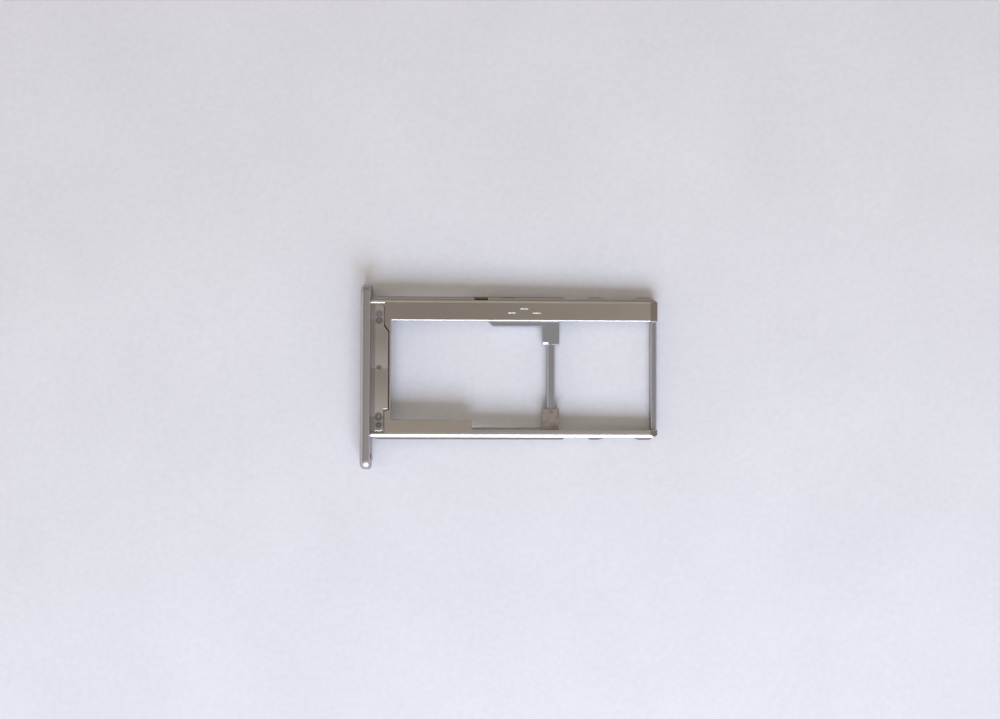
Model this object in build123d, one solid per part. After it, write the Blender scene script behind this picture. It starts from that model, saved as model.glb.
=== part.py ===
"""Card tray of a telephone, for one memory card and one nano SIM card, lying with its card side down.

X runs along the tray, from the cap to the nose. Y runs across it and Z points up, away from the cards.
The origin is on the back of the cap, in the middle of the frame's width and thickness.
"""

import os

from build123d import *

# Cards, by their published sizes, and the room that each has in its pocket
sim_long = 12.3
sim_short = 8.8
sim_cut_corner = 1.65
memory_long = 15.0
memory_wide = 11.0
memory_neck = 9.7
card_room = 0.05

# Frame section, with the flat that is left between the two rounds of a side edge
body_width = 13.8
body_thick = 1.4
plate_thick = 0.45
edge_flat = 0.06

# Frame, along X
front_bar = 1.45
front_ledge = 0.5
divider_wide = 1.6
divider_web = 0.8
end_wall = 0.6

# Frame, across Y
sim_wall = 0.8
memory_wall = 1.14
upper_ledge = 1.77
sim_ledge = 0.2
lower_ledge = 0.8
lower_ledge_end = 9.75
stub_long = 2.23
neck_block_run = 4.8

# Underside of the front half, which stands clear of the cards' backs
front_relief = 0.4
relief_slope = 0.5

# Nose that leads the tray into its slot
nose_run = 0.72
nose_drop = 0.2
nose_round = 0.6
nose_corner_run = 0.8
nose_corner_cut = 0.5
front_corner_run = 0.9
front_corner_cut = 0.2

# Catches along both side edges, from the divider to the nose: a notch, a tooth, a second notch and a heel
catch_depth = 0.27
notch_lead = 0.3
first_notch_run = 2.35
tooth_rise = 0.35
tooth_crest = 0.7
tooth_fall = 0.95
heel_rise = 0.8
heel_crest = 0.95
catch_round = 0.18

# Notch in the upper edge for the switch that feels the tray, and a shallower dent beside it
switch_notch_start = 9.9
switch_notch_run = 1.35
switch_notch_depth = 0.36
switch_notch_floor = 0.55
edge_dent_start = 12.65
edge_dent_run = 1.1
edge_dent_depth = 0.16

# Cap
cap_long = 17.8
cap_high = 2.75
cap_thick = 0.95
cap_shift = -0.86
cap_corner = 0.9
cap_face_round = 0.5
cap_back_break = 0.08
pin_hole_radius = 0.5
pin_hole_break = 0.12

# Tongue on the back of the cap, and its pocket in the front bar
tongue_thick = 0.3
tongue_half = 6.1
tongue_reach = 1.27
tongue_nose_reach = 1.7
tongue_nose_half = 4.0
tongue_nose_cut = 0.57
tongue_corner = 0.35
tongue_gap = 0.09
root_groove_wide = 0.44
root_groove_deep = 0.12

# Spot welds on the tongue: places along Y, and the ring that each leaves
weld_ring = 0.2
weld_groove = 0.11
weld_depth = 0.012
weld_x = 0.8
weld_places = (5.15, 4.55, 0, -4.7, -5.45)

# Slopes that lead the tongue into its pocket, and the memory card past the divider
pocket_lead_wide = 0.1
pocket_lead_drop = 0.05
stub_lead_wide = 0.22
stub_lead_drop = 0.11
stub_lead_past = 0.15

# Rounded edges and corners, and the flat that is left along the round crest of a rib
window_round = 0.11
rib_flat = 0.06
tongue_round = 0.07
pocket_corner = 0.2
window_corner = 0.15

# Places that follow from the sizes above
top = body_thick / 2
card_top = top - plate_thick
edge_round = (body_thick - edge_flat) / 2
half_width = body_width / 2
memory_start = front_bar
memory_end = memory_start + memory_long + 2 * card_room
sim_start = memory_end + divider_wide
sim_end = sim_start + sim_short + 2 * card_room
body_long = sim_end + end_wall
sim_low = -half_width + sim_wall
sim_high = sim_low + sim_long + 2 * card_room
memory_low = -half_width + memory_wall
memory_high = memory_low + memory_wide + 2 * card_room
neck_high = memory_low + memory_neck + 2 * card_room
window_start = front_bar + front_ledge
window_low = sim_low + sim_ledge
window_high = sim_high - upper_ledge
ledge_edge = memory_low + lower_ledge
web_front = (memory_end + sim_start - divider_web) / 2
web_back = web_front + divider_web
web_round = (divider_web - rib_flat) / 2
wall_round = (end_wall - rib_flat) / 2
pin_hole_y = cap_shift - cap_long / 2 + cap_high / 2
stub_low = sim_low + stub_long
stub_high = window_high - stub_long

# Well outside the part, where a cut may end, and how near counts as in place
outside = 2 * body_long
touch = 1e-4


def plan(points, low, high, corner=0):
    """A prism on a closed outline of (x, y) points, from one height to another, with round corners."""
    face = make_face(Polyline(*points, close=True))
    if corner:
        face = fillet(face.vertices(), corner)
    return Pos(0, 0, low) * extrude(face, high - low)


def block(x, y, z):
    """A box between two corners, each axis given as (low, high)."""
    size = [high - low for low, high in (x, y, z)]
    middle = [(low + high) / 2 for low, high in (x, y, z)]
    return Pos(*middle) * Box(*size)


def side_edge(sign):
    """Plan points of one side edge, from the cap to the nose, with its catches."""
    floor = half_width - catch_depth
    x = sim_start + notch_lead
    points = [(0, half_width - front_corner_cut), (front_corner_run, half_width)]
    points += [(x, half_width), (x + notch_lead, floor)]
    x += first_notch_run
    points.append((x, floor))
    x += tooth_rise
    points.append((x, half_width))
    x += tooth_crest
    points.append((x, half_width))
    x += tooth_fall
    points.append((x, floor))
    heel_end = body_long - nose_corner_run
    heel_start = heel_end - heel_crest
    points += [(heel_start - heel_rise, floor), (heel_start, half_width), (heel_end, half_width)]
    points.append((body_long, half_width - nose_corner_cut))
    return [(x, sign * y) for x, y in points]


def frame_blank():
    """The solid tray: its round-edged section, its plan and its side view, each cut from the other."""
    section = Plane.YZ * RectangleRounded(body_width, body_thick, edge_round)
    bar = extrude(section, body_long)
    outline = plan(side_edge(1) + side_edge(-1)[::-1], -body_thick, body_thick, catch_round)
    relief_end = lower_ledge_end + relief_slope
    profile = [
        (0, top),
        (body_long - nose_run, top),
        (body_long, top - nose_drop),
        (body_long, -top + nose_drop),
        (body_long - nose_run, -top),
        (relief_end, -top),
        (lower_ledge_end, -top + front_relief),
        (0, -top + front_relief),
    ]
    side_face = make_face(Polyline(*profile, close=True))
    nose_starts = side_face.vertices().group_by(Axis.X)[-2]
    side_face = Plane.XZ * fillet(nose_starts, nose_round)
    side_view = extrude(side_face, body_width, both=True)
    return bar & outline & side_view


def card_pockets():
    """The two card pockets, open below, and the gap between the divider's two stubs."""
    neck_start = memory_end - neck_block_run
    step = memory_high - neck_high
    memory = [
        (memory_start, memory_low),
        (memory_end, memory_low),
        (memory_end, neck_high),
        (neck_start, neck_high),
        (neck_start - step, memory_high),
        (memory_start, memory_high),
    ]
    key = sim_cut_corner - card_room
    sim = [
        (sim_start, sim_low),
        (sim_end, sim_low),
        (sim_end, sim_high - key),
        (sim_end - key, sim_high),
        (sim_start, sim_high),
    ]
    z = (-outside, card_top)
    pockets = plan(memory, *z, pocket_corner) + plan(sim, *z, pocket_corner)
    gap_x = (memory_end - pocket_corner, sim_start + pocket_corner)
    return pockets + block(gap_x, (stub_low, stub_high), z)


def window():
    """The opening in the plate, which leaves the ledges for the cards and runs out over the end wall."""
    outline = [
        (window_start, ledge_edge),
        (lower_ledge_end, ledge_edge),
        (lower_ledge_end, window_low),
        (outside, window_low),
        (outside, window_high),
        (window_start, window_high),
    ]
    return plan(outline, card_top, outside, window_corner)


def rib(x, y, low, crest_round):
    """A bar across the tray, with a rounded crest as high as the cards."""
    section = make_face(Polyline((x[0], low), (x[1], low), (x[1], card_top), (x[0], card_top), close=True))
    section = fillet(section.vertices().group_by(Axis.Y)[-1], crest_round)
    return extrude(Plane.XZ.offset(-y[1]) * section, y[1] - y[0])


def stub_lead():
    """The slope on the upper stub's end, on the memory card's side, which reaches over the web's flank."""
    slope = [
        (stub_high - stub_lead_wide, card_top - 2 * stub_lead_drop),
        (stub_high + 2 * stub_lead_wide, card_top + stub_lead_drop),
        (stub_high - stub_lead_wide, card_top + stub_lead_drop),
    ]
    section = Plane.YZ.offset(memory_end - pocket_corner) * make_face(Polyline(*slope, close=True))
    return extrude(section, pocket_corner + web_front + stub_lead_past - memory_end)


def tongue_pocket():
    """The room for the cap's tongue in the top of the front bar, with a slope at each end."""
    floor = top - tongue_thick
    half = tongue_half + tongue_gap
    slope_half = half + 2 * pocket_lead_wide
    section = [
        (-half, floor),
        (half, floor),
        (half, top - pocket_lead_drop),
        (slope_half, top + pocket_lead_drop),
        (-slope_half, top + pocket_lead_drop),
        (-half, top - pocket_lead_drop),
    ]
    face = Plane.YZ.offset(tongue_reach + tongue_gap) * make_face(Polyline(*section, close=True))
    nose_half = tongue_nose_half + tongue_gap
    nose_end = tongue_nose_reach + tongue_gap
    nose = [
        (0, nose_half),
        (tongue_reach + tongue_gap, nose_half),
        (nose_end, nose_half - tongue_nose_cut),
        (nose_end, -nose_half),
        (0, -nose_half),
    ]
    return extrude(face, -outside) + plan(nose, floor, outside)


def switch_notches():
    """The small notch in the upper side edge, and the dent beside it."""
    z = (top - switch_notch_floor, outside)
    notch_x = (switch_notch_start, switch_notch_start + switch_notch_run)
    notch = block(notch_x, (half_width - switch_notch_depth, outside), z)
    dent_x = (edge_dent_start, edge_dent_start + edge_dent_run)
    dent = block(dent_x, (half_width - edge_dent_depth, outside), z)
    return notch + dent


def on_window(edge):
    """True for an upper edge of the window, along the rails and down their noses."""
    box = edge.bounding_box()
    upper = box.min.Z > card_top + touch and box.size.X + box.size.Y > touch
    inside_y = box.min.Y > window_low - touch and box.max.Y < window_high + touch
    return upper and inside_y and box.min.X > window_start - touch


def tray_frame():
    """The moulded frame, one piece."""
    frame = frame_blank() - card_pockets() - window() - stub_lead()
    frame = frame - tongue_pocket() - switch_notches()
    frame = fillet(frame.edges().filter_by(on_window), window_round)
    web = rib((web_front, web_back), (stub_low, stub_high), -top, web_round)
    wall_y = (window_low, window_high)
    wall_crest = block((sim_end, outside), wall_y, (card_top - wall_round, outside))
    wall = rib((sim_end, body_long), wall_y, card_top - 2 * wall_round, wall_round)
    return frame + web - wall_crest + wall


def cap_plate():
    """The round-cornered face plate, with its rounded outer rim and the hole for the release pin."""
    outline = Plane.YZ * Pos(cap_shift, 0) * RectangleRounded(cap_long, cap_high, cap_corner)
    plate = extrude(outline, -cap_thick)
    plate = fillet(plate.faces().sort_by(Axis.X)[0].edges(), cap_face_round)
    plate = chamfer(plate.faces().sort_by(Axis.X)[-1].edges(), cap_back_break)
    hole = Plane.YZ * Pos(pin_hole_y, 0) * Circle(pin_hole_radius)
    plate = plate - extrude(hole, cap_thick, both=True)
    mouth = plate.faces().sort_by(Axis.X)[0].inner_wires()[0].edges()
    return chamfer(mouth, pin_hole_break)


def weld_mark():
    """The ring-shaped groove that one spot weld leaves, about the Z axis, to be cut from the tongue."""
    section = [
        (weld_ring - weld_groove, top),
        (weld_ring, top - weld_depth),
        (weld_ring + weld_groove, top),
    ]
    return revolve(Plane.XZ * make_face(Polyline(*section, close=True)), Axis.Z)


def tongue():
    """The flat tongue on the cap's back, with its root groove and its spot welds."""
    outline = [
        (-cap_thick / 2, tongue_half),
        (tongue_reach, tongue_half),
        (tongue_reach, tongue_nose_half),
        (tongue_nose_reach, tongue_nose_half - tongue_nose_cut),
        (tongue_nose_reach, -tongue_nose_half),
        (tongue_reach, -tongue_nose_half),
        (tongue_reach, -tongue_half),
        (-cap_thick / 2, -tongue_half),
    ]
    strip = plan(outline, top - tongue_thick, top)
    ends = strip.edges().filter_by(Axis.Z).filter_by(
        lambda edge: abs(abs(edge.center().Y) - tongue_half) < touch and edge.center().X > 0
    )
    strip = fillet(ends, tongue_corner)
    strip = fillet(strip.faces().sort_by(Axis.Z)[-1].edges(), tongue_round)
    groove = block((0, root_groove_wide), (-outside, outside), (top - root_groove_deep, outside))
    strip = strip - groove
    for y in weld_places:
        strip = strip - Pos(weld_x, y) * weld_mark()
    return strip


def end_cap():
    """The cap with its tongue, one piece."""
    return cap_plate() + tongue()


os.makedirs("parts", exist_ok=True)
for name, piece in {"tray_frame": tray_frame(), "end_cap": end_cap()}.items():
    export_step(piece, f"parts/{name}.step")
    size = piece.bounding_box().size
    print(f"{name}: {size.X:.2f} x {size.Y:.2f} x {size.Z:.2f} mm, {piece.volume:.2f} mm3")
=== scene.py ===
# %% [markdown]
# # A card tray of a telephone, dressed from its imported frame
#
# The tray is two pieces of stainless steel: a moulded frame that carries two cards, and a cap that is
# welded to it. Both come in from the frame at their real size, so this script only gives them their
# surface, the light of a window and a sheet of paper to lie on.

import math

import bmesh
import bpy
from mathutils import Matrix, Quaternion, Vector


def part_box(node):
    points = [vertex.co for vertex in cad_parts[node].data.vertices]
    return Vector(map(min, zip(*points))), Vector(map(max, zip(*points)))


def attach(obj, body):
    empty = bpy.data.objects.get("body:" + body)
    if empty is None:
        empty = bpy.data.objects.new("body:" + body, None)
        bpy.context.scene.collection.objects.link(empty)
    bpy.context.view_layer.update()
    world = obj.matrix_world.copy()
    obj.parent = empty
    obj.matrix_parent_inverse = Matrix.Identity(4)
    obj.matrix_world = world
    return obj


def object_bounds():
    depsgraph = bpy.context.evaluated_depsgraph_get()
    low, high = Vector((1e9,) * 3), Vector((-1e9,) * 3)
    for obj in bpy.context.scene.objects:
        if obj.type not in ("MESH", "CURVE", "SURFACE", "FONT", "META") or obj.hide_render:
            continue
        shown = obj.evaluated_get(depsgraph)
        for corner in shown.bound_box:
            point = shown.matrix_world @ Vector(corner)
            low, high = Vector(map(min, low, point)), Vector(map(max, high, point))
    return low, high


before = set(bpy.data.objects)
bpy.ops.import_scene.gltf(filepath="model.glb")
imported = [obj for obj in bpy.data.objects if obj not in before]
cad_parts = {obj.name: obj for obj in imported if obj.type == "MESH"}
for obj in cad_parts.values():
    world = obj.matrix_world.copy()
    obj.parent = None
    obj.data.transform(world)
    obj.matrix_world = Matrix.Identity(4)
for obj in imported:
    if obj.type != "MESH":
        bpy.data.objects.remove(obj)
cad_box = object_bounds()
MM = 0.001
print("nodes:", sorted(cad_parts))
print("size in mm:", [round(side / MM, 2) for side in cad_box[1] - cad_box[0]])

# %% [markdown]
# ## Two helpers for every finish
#
# Colours are written as the sRGB hex values that a picture editor shows, and Blender wants them linear. A
# node tree is easier to read when each node is one call, so one function adds any kind of node with its
# settings, and its inputs given as a number, a colour or the socket of another node.

# %% Helpers for colours and nodes


def linear(hex_code):
    """Turns an sRGB hex colour into linear red, green, blue and alpha."""
    channels = [int(hex_code[i : i + 2], 16) / 255 for i in (1, 3, 5)]
    return [c / 12.92 if c <= 0.04045 else ((c + 0.055) / 1.055) ** 2.4 for c in channels] + [1.0]


def add(tree, kind, inputs=None, **settings):
    """Adds a node to a tree, with its settings, and sets or links its inputs."""
    node = tree.nodes.new(kind)
    for name, value in settings.items():
        setattr(node, name, value)
    for name, value in (inputs or {}).items():
        if isinstance(value, bpy.types.NodeSocket):
            tree.links.new(value, node.inputs[name])
        else:
            node.inputs[name].default_value = value
    return node


def empty_material(name):
    """A material with an empty node tree."""
    material = bpy.data.materials.new(name)
    material.use_nodes = True
    material.node_tree.nodes.clear()
    return material, material.node_tree


# %% [markdown]
# ## The camera
#
# The view is from about nine centimetres above the tray, almost straight above it, with the wide lens
# that a close view needs. The place and the turn were found by matching the tray's corners, so the camera
# is set by a place and one turn about a tilted axis, and not by a target.

# %% Camera
camera_place = Vector((10.214, -1.031, 92.983)) * MM
camera_turn = Vector((1.148, -1.368, 0.243))
camera_width_deg = 55.0
camera_nearest = 5 * MM

camera = bpy.data.objects.new("camera", bpy.data.cameras.new("camera"))
bpy.context.scene.collection.objects.link(camera)
camera.location = camera_place
camera.rotation_mode = "QUATERNION"
camera.rotation_quaternion = Quaternion(camera_turn, math.radians(camera_turn.length))
camera.data.angle = math.radians(camera_width_deg)
camera.data.clip_start = camera_nearest
bpy.context.scene.camera = camera
print("camera", round(camera_place.z / MM, 1), "mm above the tray, lens", round(camera.data.lens, 1), "mm")

# %% [markdown]
# ## The paper
#
# The tray lies on a white sheet of paper. Its cap is higher than its frame, so it lies a little tilted:
# on the cap's lower edge and on the nose. The tray keeps its own frame here, so the paper is tilted
# instead. Paper is matt, with fibres that make it slightly cloudy.

# %% Paper
paper_wide = 3.0
frame_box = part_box("tray_frame")
cap_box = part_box("end_cap")
nose_run = 0.72 * MM
nose_foot_x = frame_box[1].x - nose_run
tilt = math.atan2(frame_box[0].z - cap_box[0].z, nose_foot_x - cap_box[0].x)
paper_turn = Matrix.Rotation(-tilt, 4, "Y")
paper_middle = Vector((cap_box[0].x, 0, cap_box[0].z))


def paper_material():
    """Uncoated paper: matt and nearly white, with a faint cloud of fibres."""
    material, tree = empty_material("uncoated paper")
    fibre_mm = 0.5
    cloud_mm = 14
    fibre_high_mm = 0.03
    place = add(tree, "ShaderNodeTexCoord").outputs["Object"]
    fibres = add(tree, "ShaderNodeTexNoise", {"Vector": place, "Scale": 1 / (fibre_mm * MM), "Detail": 5.0})
    clouds = add(tree, "ShaderNodeTexNoise", {"Vector": place, "Scale": 1 / (cloud_mm * MM), "Detail": 3.0})
    both = add(
        tree,
        "ShaderNodeMath",
        {0: fibres.outputs["Fac"], 1: clouds.outputs["Fac"]},
        operation="ADD",
    )
    shade = add(
        tree,
        "ShaderNodeMapRange",
        {"Value": both.outputs["Value"], "From Min": 0.6, "From Max": 1.4},
    )
    colour = add(
        tree,
        "ShaderNodeMix",
        {"Factor": shade.outputs["Result"], "A": linear("#e4e4e6"), "B": linear("#eeeef0")},
        data_type="RGBA",
    )
    bump = add(
        tree,
        "ShaderNodeBump",
        {"Height": fibres.outputs["Fac"], "Strength": 0.15, "Distance": fibre_high_mm * MM},
    )
    paper = add(
        tree,
        "ShaderNodeBsdfPrincipled",
        {
            "Base Color": colour.outputs["Result"],
            "Roughness": 0.9,
            "Specular IOR Level": 0.2,
            "Normal": bump.outputs["Normal"],
        },
    )
    add(tree, "ShaderNodeOutputMaterial", {"Surface": paper.outputs["BSDF"]})
    return material


sheet_mesh = bmesh.new()
bmesh.ops.create_grid(sheet_mesh, x_segments=1, y_segments=1, size=paper_wide / 2)
paper_place = Matrix.Translation(paper_middle) @ paper_turn
bmesh.ops.transform(sheet_mesh, matrix=paper_place, verts=sheet_mesh.verts)
paper_data = bpy.data.meshes.new("paper")
sheet_mesh.to_mesh(paper_data)
sheet_mesh.free()
paper_data.materials.append(paper_material())
paper = bpy.data.objects.new("paper", paper_data)
bpy.context.scene.collection.objects.link(paper)
print("paper tilted by", round(math.degrees(tilt), 2), "degrees")

# %% [markdown]
# ## The light
#
# One soft lamp stands low behind the near long edge, as a window does, and makes the white glints along
# every edge that faces it. The rest is a dim, warm room, and the steel is a mirror for it: the ceiling
# right over the tray is in shade, the near and left walls are bright, and the far wall is dimmer. The
# foot of the walls is pale all round, so that the tray has a plain background from every side. The room
# is one background colour that changes with the direction, mixed zone by zone.

# %% Window lamp
window_distance = 0.3
window_height_deg = 37.0
window_side_deg = 5.0
window_wide = 0.22
window_tall = 0.155
window_power = 0.88
window_colour = linear("#d8e4ff")

lamp_data = bpy.data.lights.new("window", "AREA")
lamp_data.shape = "RECTANGLE"
lamp_data.size = window_wide
lamp_data.size_y = window_tall
lamp_data.energy = window_power
lamp_data.color = window_colour[:3]
lamp = bpy.data.objects.new("window", lamp_data)
bpy.context.scene.collection.objects.link(lamp)
height = math.radians(window_height_deg)
side = math.radians(window_side_deg)
towards = Vector((math.sin(side) * math.cos(height), -math.cos(side) * math.cos(height), math.sin(height)))
tray_middle = (cad_box[0] + cad_box[1]) / 2
lamp.location = tray_middle + towards * window_distance
lamp.rotation_mode = "QUATERNION"
lamp.rotation_quaternion = towards.to_track_quat("Z", "Y")
lamp.visible_camera = False
print("lamp at", [round(c, 3) for c in lamp.location])

# %% Room colours
room_tint = Vector(linear("#fff4e7"))
overhead_near = room_tint * 0.61
overhead_far = room_tint * 0.18
overhead_right = room_tint * 0.67
ring = room_tint * 0.27
near_wall = room_tint * 2.0
left_wall = room_tint * 1.85
right_wall = room_tint * 0.9
far_high = room_tint * 0.64
far_low = room_tint * 0.27
wall_foot = Vector(linear("#e9e9ec"))
print("brightest wall:", [round(c, 2) for c in near_wall[:3]])

# %% [markdown]
# Each zone starts and ends at a value of one part of the direction, which is a unit vector: X is to the
# right, Y away from the window and Z up.

# %% Room
side_turn = 0.4
near_starts = -0.4
near_full = -0.8
walls_end = 0.35
ring_full = 0.6
ring_ends = 0.85
overhead_full = 0.97
overhead_turn = 0.2
right_full = 0.4
far_low_ends = 0.6
far_high_full = 0.8
far_starts = 0.14
far_full = 0.32
foot_ends = 0.1
foot_gone = 0.15

world = bpy.data.worlds.new("room")
bpy.context.scene.world = world
world.use_nodes = True
room = world.node_tree
room.nodes.clear()
direction = add(room, "ShaderNodeTexCoord").outputs["Generated"]
heading = add(room, "ShaderNodeSeparateXYZ", {"Vector": direction}).outputs


def blend_zone(under, over, part, start, end):
    """Mixes one zone of the room over another, softly between two values of a part of the direction."""
    amount = add(
        room,
        "ShaderNodeMapRange",
        {"Value": part, "From Min": start, "From Max": end},
        interpolation_type="SMOOTHSTEP",
    )
    mix = add(
        room,
        "ShaderNodeMix",
        {"Factor": amount.outputs["Result"], "A": under, "B": over},
        data_type="RGBA",
    )
    return mix.outputs["Result"]


walls = blend_zone(left_wall, right_wall, heading["X"], -side_turn, side_turn)
walls = blend_zone(walls, near_wall, heading["Y"], near_starts, near_full)
walls = blend_zone(walls, ring, heading["Z"], walls_end, ring_full)
overhead = blend_zone(overhead_near, overhead_far, heading["Y"], -overhead_turn, overhead_turn)
overhead = blend_zone(overhead, overhead_right, heading["X"], 0.0, right_full)
walls = blend_zone(walls, overhead, heading["Z"], ring_ends, overhead_full)
far_wall = blend_zone(far_low, far_high, heading["Z"], far_low_ends, far_high_full)
whole_room = blend_zone(walls, far_wall, heading["Y"], far_starts, far_full)
whole_room = blend_zone(wall_foot, whole_room, heading["Z"], foot_ends, foot_gone)
background = add(room, "ShaderNodeBackground", {"Color": whole_room, "Strength": 1.0})
add(room, "ShaderNodeOutputWorld", {"Surface": background.outputs["Background"]})
bpy.context.scene.view_settings.view_transform = "Standard"
print("room zones mixed:", sum(node.type == "MIX" for node in room.nodes))

# %% [markdown]
# ## The frame's steel
#
# The frame is stainless steel, moulded from powder and then tumbled with small stones. The stones reach
# the open tops, which end up satin and a little warm, and miss the recesses, which stay duller and
# greyer. Below their shoulders the side edges are darker. Painted shade darkens the pocket round the
# tongue and the notch for the switch, and lies in blotches on the low stub of the divider.
# Object coordinates are the tray's own millimetres, so the place of a point tells one from the other:
# each mask compares a coordinate with a size of the tray, and multiplying two masks keeps what lies in
# both. The solids have sharp step edges where the real ones are broken a little, and a Bevel node rounds
# the light there.

# %% Places on the frame
recess_starts = 0.33 * MM
recess_full = 0.27 * MM
side_starts = 6.1 * MM
side_full = 6.3 * MM
shoulder_high = 0.6 * MM
shoulder_low = 0.44 * MM
pocket_back = 1.9 * MM
pocket_high = 0.6 * MM
pocket_half = 4.15 * MM
notch_middle = 10.58 * MM
notch_half = 0.66 * MM
notch_floor = 6.62 * MM
notch_deep = 0.1 * MM
notch_low = 0.1 * MM
stub_middle = 17.35 * MM
stub_half = 1.0 * MM
# Where the painted shade on the low stub starts and ends
stub_shade_starts = -3.6 * MM
stub_shade_full = -4.1 * MM
stub_shade_low = -0.1 * MM
stub_shade_high = 0.2 * MM
print("recesses lie below", round(recess_full / MM, 2), "mm")
print("side edges lie past", round(side_full / MM, 2), "mm from the middle")

# %% Frame steel
# How dark the painted shade in the tongue's pocket and the switch notch gets
painted_shade_amount = 0.8
edge_break = 0.1 * MM
tumbled_roughness = 0.24
recess_roughness = 0.42


def frame_steel():
    """Moulded and tumbled stainless steel: satin tops, duller recesses, darker sides and painted shade in
    the pocket, the notch and on the low stub.
    """
    material, tree = empty_material("moulded stainless steel")
    # Real grain is finer, and this is as coarse as it needs to be to show
    grain_mm = 0.15
    grain_high_mm = 0.01
    mottle_mm = 2.5
    blotch_mm = 0.7
    place = add(tree, "ShaderNodeTexCoord").outputs["Object"]
    parts = add(tree, "ShaderNodeSeparateXYZ", {"Vector": place}).outputs

    # Recesses lie low and between the side edges
    low_down = add(
        tree,
        "ShaderNodeMapRange",
        {"Value": parts["Z"], "From Min": recess_starts, "From Max": recess_full},
    )
    across = add(tree, "ShaderNodeMath", {0: parts["Y"]}, operation="ABSOLUTE")
    inside = add(
        tree,
        "ShaderNodeMapRange",
        {"Value": across.outputs["Value"], "From Min": side_full, "From Max": side_starts},
    )
    recess = add(
        tree,
        "ShaderNodeMath",
        {0: low_down.outputs["Result"], 1: inside.outputs["Result"]},
        operation="MULTIPLY",
    ).outputs["Value"]

    # The darker sides lie outside those, below the shoulder
    outside = add(tree, "ShaderNodeMath", {0: 1.0, 1: inside.outputs["Result"]}, operation="SUBTRACT")
    below_shoulder = add(
        tree,
        "ShaderNodeMapRange",
        {"Value": parts["Z"], "From Min": shoulder_high, "From Max": shoulder_low},
        interpolation_type="SMOOTHSTEP",
    )
    darker_sides = add(
        tree,
        "ShaderNodeMath",
        {0: outside.outputs["Value"], 1: below_shoulder.outputs["Result"]},
        operation="MULTIPLY",
    )

    # Painted shade lies in the tongue's pocket and in the switch notch
    in_front = add(tree, "ShaderNodeMath", {0: parts["X"], 1: pocket_back}, operation="LESS_THAN")
    below_top = add(tree, "ShaderNodeMath", {0: parts["Z"], 1: pocket_high}, operation="LESS_THAN")
    by_nose = add(tree, "ShaderNodeMath", {0: parts["Y"], 1: 0.0, 2: pocket_half}, operation="COMPARE")
    open_part = add(tree, "ShaderNodeMath", {0: 1.0, 1: recess}, operation="SUBTRACT")
    in_notch = add(
        tree,
        "ShaderNodeMath",
        {0: parts["X"], 1: notch_middle, 2: notch_half},
        operation="COMPARE",
    )
    on_floor = add(
        tree,
        "ShaderNodeMath",
        {0: parts["Y"], 1: notch_floor, 2: notch_deep},
        operation="COMPARE",
    )
    above_floor = add(tree, "ShaderNodeMath", {0: parts["Z"], 1: notch_low}, operation="GREATER_THAN")
    painted_shade = 0.0
    for masks in ((in_front, below_top, by_nose, open_part), (in_notch, on_floor, above_floor)):
        amount = painted_shade_amount
        for mask in masks:
            both = add(tree, "ShaderNodeMath", {0: mask.outputs["Value"], 1: amount}, operation="MULTIPLY")
            amount = both.outputs["Value"]
        deeper_painted_shade = add(tree, "ShaderNodeMath", {0: amount, 1: painted_shade}, operation="MAXIMUM")
        painted_shade = deeper_painted_shade.outputs["Value"]

    # Painted shade lies on the upper side of the low stub
    low_end = add(
        tree,
        "ShaderNodeMapRange",
        {"Value": parts["Y"], "From Min": stub_shade_starts, "From Max": stub_shade_full},
    )
    upper_side = add(
        tree,
        "ShaderNodeMapRange",
        {"Value": parts["Z"], "From Min": stub_shade_low, "From Max": stub_shade_high},
    )
    on_stub = add(
        tree,
        "ShaderNodeMath",
        {0: parts["X"], 1: stub_middle, 2: stub_half},
        operation="COMPARE",
    )
    stub_end = add(
        tree,
        "ShaderNodeMath",
        {0: low_end.outputs["Result"], 1: on_stub.outputs["Value"]},
        operation="MULTIPLY",
    )
    stub_shade = add(
        tree,
        "ShaderNodeMath",
        {0: stub_end.outputs["Value"], 1: upper_side.outputs["Result"]},
        operation="MULTIPLY",
    )

    # Colours, from the cleanest steel to the painted shade
    mottle = add(
        tree,
        "ShaderNodeTexNoise",
        {"Vector": place, "Scale": 1 / (mottle_mm * MM), "Detail": 3.0},
    )
    tumbled = add(
        tree,
        "ShaderNodeMix",
        {"Factor": mottle.outputs["Fac"], "A": linear("#c0bbb5"), "B": linear("#ccc7c1")},
        data_type="RGBA",
    )
    # Below the shoulders the sides are darker
    open_steel = add(
        tree,
        "ShaderNodeMix",
        {"Factor": darker_sides.outputs["Value"], "A": tumbled.outputs["Result"], "B": linear("#8f8780")},
        data_type="RGBA",
    )
    blotches = add(
        tree,
        "ShaderNodeTexNoise",
        {"Vector": place, "Scale": 1 / (blotch_mm * MM), "Detail": 2.0},
    )
    blotch = add(
        tree,
        "ShaderNodeMapRange",
        {"Value": blotches.outputs["Fac"], "From Min": 0.4, "From Max": 0.6},
        interpolation_type="SMOOTHSTEP",
    )
    # Two blotched tones of painted shade for the low stub
    stub_shade_colour = add(
        tree,
        "ShaderNodeMix",
        {"Factor": blotch.outputs["Result"], "A": linear("#b0a79f"), "B": linear("#9b9087")},
        data_type="RGBA",
    )
    dull = add(
        tree,
        "ShaderNodeMix",
        {"Factor": stub_shade.outputs["Value"], "A": linear("#acaeb3"), "B": stub_shade_colour.outputs["Result"]},
        data_type="RGBA",
    )
    clean = add(
        tree,
        "ShaderNodeMix",
        {"Factor": recess, "A": open_steel.outputs["Result"], "B": dull.outputs["Result"]},
        data_type="RGBA",
    )
    # The painted shade in the pocket and the notch is near black
    colour = add(
        tree,
        "ShaderNodeMix",
        {"Factor": painted_shade, "A": clean.outputs["Result"], "B": linear("#2c2723")},
        data_type="RGBA",
    )

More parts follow.
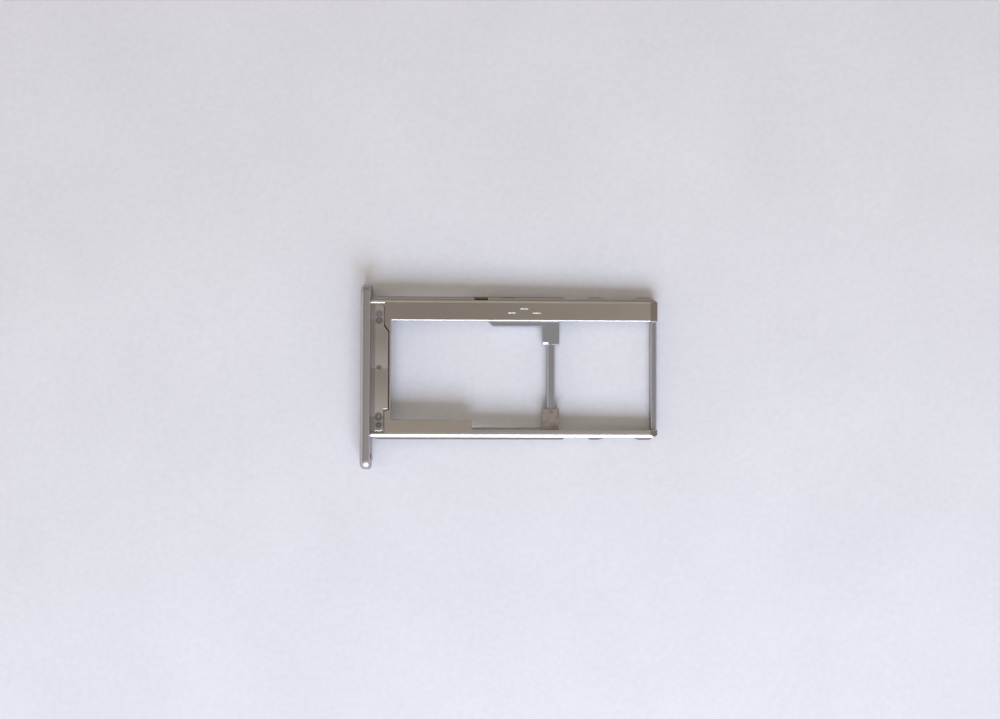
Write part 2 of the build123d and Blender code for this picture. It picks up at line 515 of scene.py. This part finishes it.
    # Gloss, broken edges and grain
    roughness = add(
        tree,
        "ShaderNodeMapRange",
        {"Value": recess, "To Min": tumbled_roughness, "To Max": recess_roughness},
    )
    edges = add(tree, "ShaderNodeBevel", {"Radius": edge_break}, samples=4)
    grain = add(tree, "ShaderNodeTexNoise", {"Vector": place, "Scale": 1 / (grain_mm * MM), "Detail": 4.0})
    bump = add(
        tree,
        "ShaderNodeBump",
        {
            "Height": grain.outputs["Fac"],
            "Strength": 0.06,
            "Distance": grain_high_mm * MM,
            "Normal": edges.outputs["Normal"],
        },
    )
    steel = add(
        tree,
        "ShaderNodeBsdfPrincipled",
        {
            "Base Color": colour.outputs["Result"],
            "Metallic": 1.0,
            "Roughness": roughness.outputs["Result"],
            "Normal": bump.outputs["Normal"],
        },
    )
    add(tree, "ShaderNodeOutputMaterial", {"Surface": steel.outputs["BSDF"]})
    return material


# %% [markdown]
# ## The cap's steel
#
# The cap is the part that shows on the telephone, so its plate is blasted with fine beads: matt and even.
# Its tongue was welded to the frame by a few sparks, and each left a ring of dark heat tint. A ring is
# the set of points at one distance from its middle, so the distance to each weld makes the mask, and the
# darkest ring at a point wins. Where the tint is strong, oxide covers the metal and ends its mirror
# shine. The heat also drew the strip down at the welds, so it bows a little between them: a parabola that
# repeats from weld to weld, as bump. The sizes here are in millimetres, and a weld is its place across
# the tongue, its ring's radius and its darkness.

# %% Cap steel
weld_x = 0.8
weld_marks = (
    (5.15, 0.2, 0.75),
    (4.55, 0.2, 0.85),
    (0, 0.1, 0.8),
    (-4.7, 0.24, 0.85),
    (-5.48, 0.17, 0.9),
)
weld_blur = 0.3
tongue_top = 0.7
groove_floor = 0.58
# How dark the painted shade in the root groove gets
groove_shade = 0.36
bow_from = -4.7
bow_span = 4.65
bow_high = 0.09
oxide_starts = 0.4
oxide_full = 0.9
blasted_roughness = 0.42
tongue_roughness = 0.27
oxide_roughness = 0.45


def cap_steel():
    """Blasted stainless steel: matt and even, with heat rings at the welds and painted shade in the root
    groove.
    """
    material, tree = empty_material("blasted stainless steel")
    # The beads' dents are finer too, and are drawn just coarse enough to show
    bead_mm = 0.1
    bead_high_mm = 0.01
    place = add(tree, "ShaderNodeTexCoord").outputs["Object"]
    parts = add(tree, "ShaderNodeSeparateXYZ", {"Vector": place}).outputs
    tint = 0.0
    for weld_y, ring_radius, darkness in weld_marks:
        middle = Vector((weld_x, weld_y, tongue_top)) * MM
        away = add(tree, "ShaderNodeVectorMath", {0: place, 1: middle}, operation="DISTANCE")
        off_ring = add(
            tree,
            "ShaderNodeMath",
            {0: away.outputs["Value"], 1: ring_radius * MM},
            operation="SUBTRACT",
        )
        apart = add(tree, "ShaderNodeMath", {0: off_ring.outputs["Value"]}, operation="ABSOLUTE")
        burn = add(
            tree,
            "ShaderNodeMapRange",
            {
                "Value": apart.outputs["Value"],
                "From Min": weld_blur * MM,
                "From Max": 0.0,
                "To Max": darkness,
            },
            interpolation_type="SMOOTHSTEP",
        )
        darkest = add(tree, "ShaderNodeMath", {0: burn.outputs["Result"], 1: tint}, operation="MAXIMUM")
        tint = darkest.outputs["Value"]
    on_tongue = add(
        tree,
        "ShaderNodeMath",
        {0: parts["X"], 1: 0.0},
        operation="GREATER_THAN",
    ).outputs["Value"]
    # The tongue below its top, in the root groove, is darkened with painted shade
    low = add(
        tree,
        "ShaderNodeMapRange",
        {
            "Value": parts["Z"],
            "From Min": tongue_top * MM,
            "From Max": groove_floor * MM,
            "To Max": groove_shade,
        },
    )
    groove = add(tree, "ShaderNodeMath", {0: on_tongue, 1: low.outputs["Result"]}, operation="MULTIPLY")
    dark = add(tree, "ShaderNodeMath", {0: tint, 1: groove.outputs["Value"]}, operation="MAXIMUM")
    clean = add(
        tree,
        "ShaderNodeMix",
        {"Factor": on_tongue, "A": linear("#b2aeb0"), "B": linear("#ccc9c8")},
        data_type="RGBA",
    )
    colour = add(
        tree,
        "ShaderNodeMix",
        {"Factor": dark.outputs["Value"], "A": clean.outputs["Result"], "B": linear("#382a20")},
        data_type="RGBA",
    )
    bare = add(
        tree,
        "ShaderNodeMapRange",
        {"Value": tint, "From Min": oxide_starts, "From Max": oxide_full, "To Min": 1.0, "To Max": 0.0},
    )
    plain = add(
        tree,
        "ShaderNodeMapRange",
        {"Value": on_tongue, "To Min": blasted_roughness, "To Max": tongue_roughness},
    )
    roughness = add(
        tree,
        "ShaderNodeMix",
        {"Factor": dark.outputs["Value"], "A": plain.outputs["Result"], "B": oxide_roughness},
        data_type="FLOAT",
    )
    turns = add(
        tree,
        "ShaderNodeMapRange",
        {
            "Value": parts["Y"],
            "From Min": bow_from * MM,
            "From Max": (bow_from + bow_span) * MM,
        },
        clamp=False,
    )
    along = add(tree, "ShaderNodeMath", {0: turns.outputs["Result"]}, operation="FRACT")
    from_middle = add(tree, "ShaderNodeMath", {0: along.outputs["Value"], 1: 0.5}, operation="SUBTRACT")
    square = add(tree, "ShaderNodeMath", {0: from_middle.outputs["Value"], 1: 2.0}, operation="POWER")
    bow = add(tree, "ShaderNodeMath", {0: square.outputs["Value"], 1: on_tongue}, operation="MULTIPLY")
    bowed = add(
        tree,
        "ShaderNodeBump",
        {"Height": bow.outputs["Value"], "Strength": 1.0, "Distance": 4 * bow_high * MM},
        invert=True,
    )
    beads = add(tree, "ShaderNodeTexNoise", {"Vector": place, "Scale": 1 / (bead_mm * MM), "Detail": 3.0})
    bump = add(
        tree,
        "ShaderNodeBump",
        {
            "Height": beads.outputs["Fac"],
            "Strength": 0.1,
            "Distance": bead_high_mm * MM,
            "Normal": bowed.outputs["Normal"],
        },
    )
    steel = add(
        tree,
        "ShaderNodeBsdfPrincipled",
        {
            "Base Color": colour.outputs["Result"],
            "Metallic": bare.outputs["Result"],
            "Specular IOR Level": 0.2,
            "Roughness": roughness.outputs["Result"],
            "Normal": bump.outputs["Normal"],
        },
    )
    add(tree, "ShaderNodeOutputMaterial", {"Surface": steel.outputs["BSDF"]})
    return material


# %% [markdown]
# ## Putting the finishes on
#
# Each piece comes from the frame with one material slot, which all its faces use. The finish goes into
# that slot, so no face has to be given a material by hand.

# %% Dress the two pieces
finishes = {"tray_frame": frame_steel(), "end_cap": cap_steel()}
for node_name, finish in finishes.items():
    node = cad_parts[node_name]
    for slot in node.material_slots:
        slot.material = finish
    print(node_name, "takes", finish.name, "in", len(node.material_slots), "slot")

# %% [markdown]
# ## The mould marks
#
# The wide rail carries a few small raised marks from its mould. They are plain bars here: each starts as
# a cube, is scaled to a bar that stands a little in the steel, and has its upper edges bevelled, so that
# the window draws one short bright line along it.

# %% Mould marks
mark_places = ((13.55, 5.35), (14.75, 5.75), (15.95, 5.35))
mark_long = 0.8
mark_wide = 0.16
mark_high = 0.06
mark_sunk = 0.04
mark_round = 0.045
frame_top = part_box("tray_frame")[1].z

marks_mesh = bmesh.new()
for mark_x, mark_y in mark_places:
    bar = bmesh.ops.create_cube(marks_mesh, size=1.0)["verts"]
    bmesh.ops.scale(marks_mesh, vec=Vector((mark_long, mark_wide, mark_high + mark_sunk)) * MM, verts=bar)
    middle = Vector((mark_x * MM, mark_y * MM, frame_top + (mark_high - mark_sunk) / 2 * MM))
    bmesh.ops.translate(marks_mesh, vec=middle, verts=bar)
upper_edges = [e for e in marks_mesh.edges if min(v.co.z for v in e.verts) > frame_top]
bmesh.ops.bevel(
    marks_mesh,
    geom=upper_edges,
    offset=mark_round * MM,
    affect="EDGES",
    segments=2,
    profile=0.5,
    material=-1,
)
marks_data = bpy.data.meshes.new("mould_marks")
marks_mesh.to_mesh(marks_data)
marks_mesh.free()
marks_data.materials.append(finishes["tray_frame"])
marks = bpy.data.objects.new("mould_marks", marks_data)
bpy.context.scene.collection.objects.link(marks)
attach(marks, "root")
print("mould marks:", len(mark_places), "bars of", len(marks_data.polygons), "faces in all")
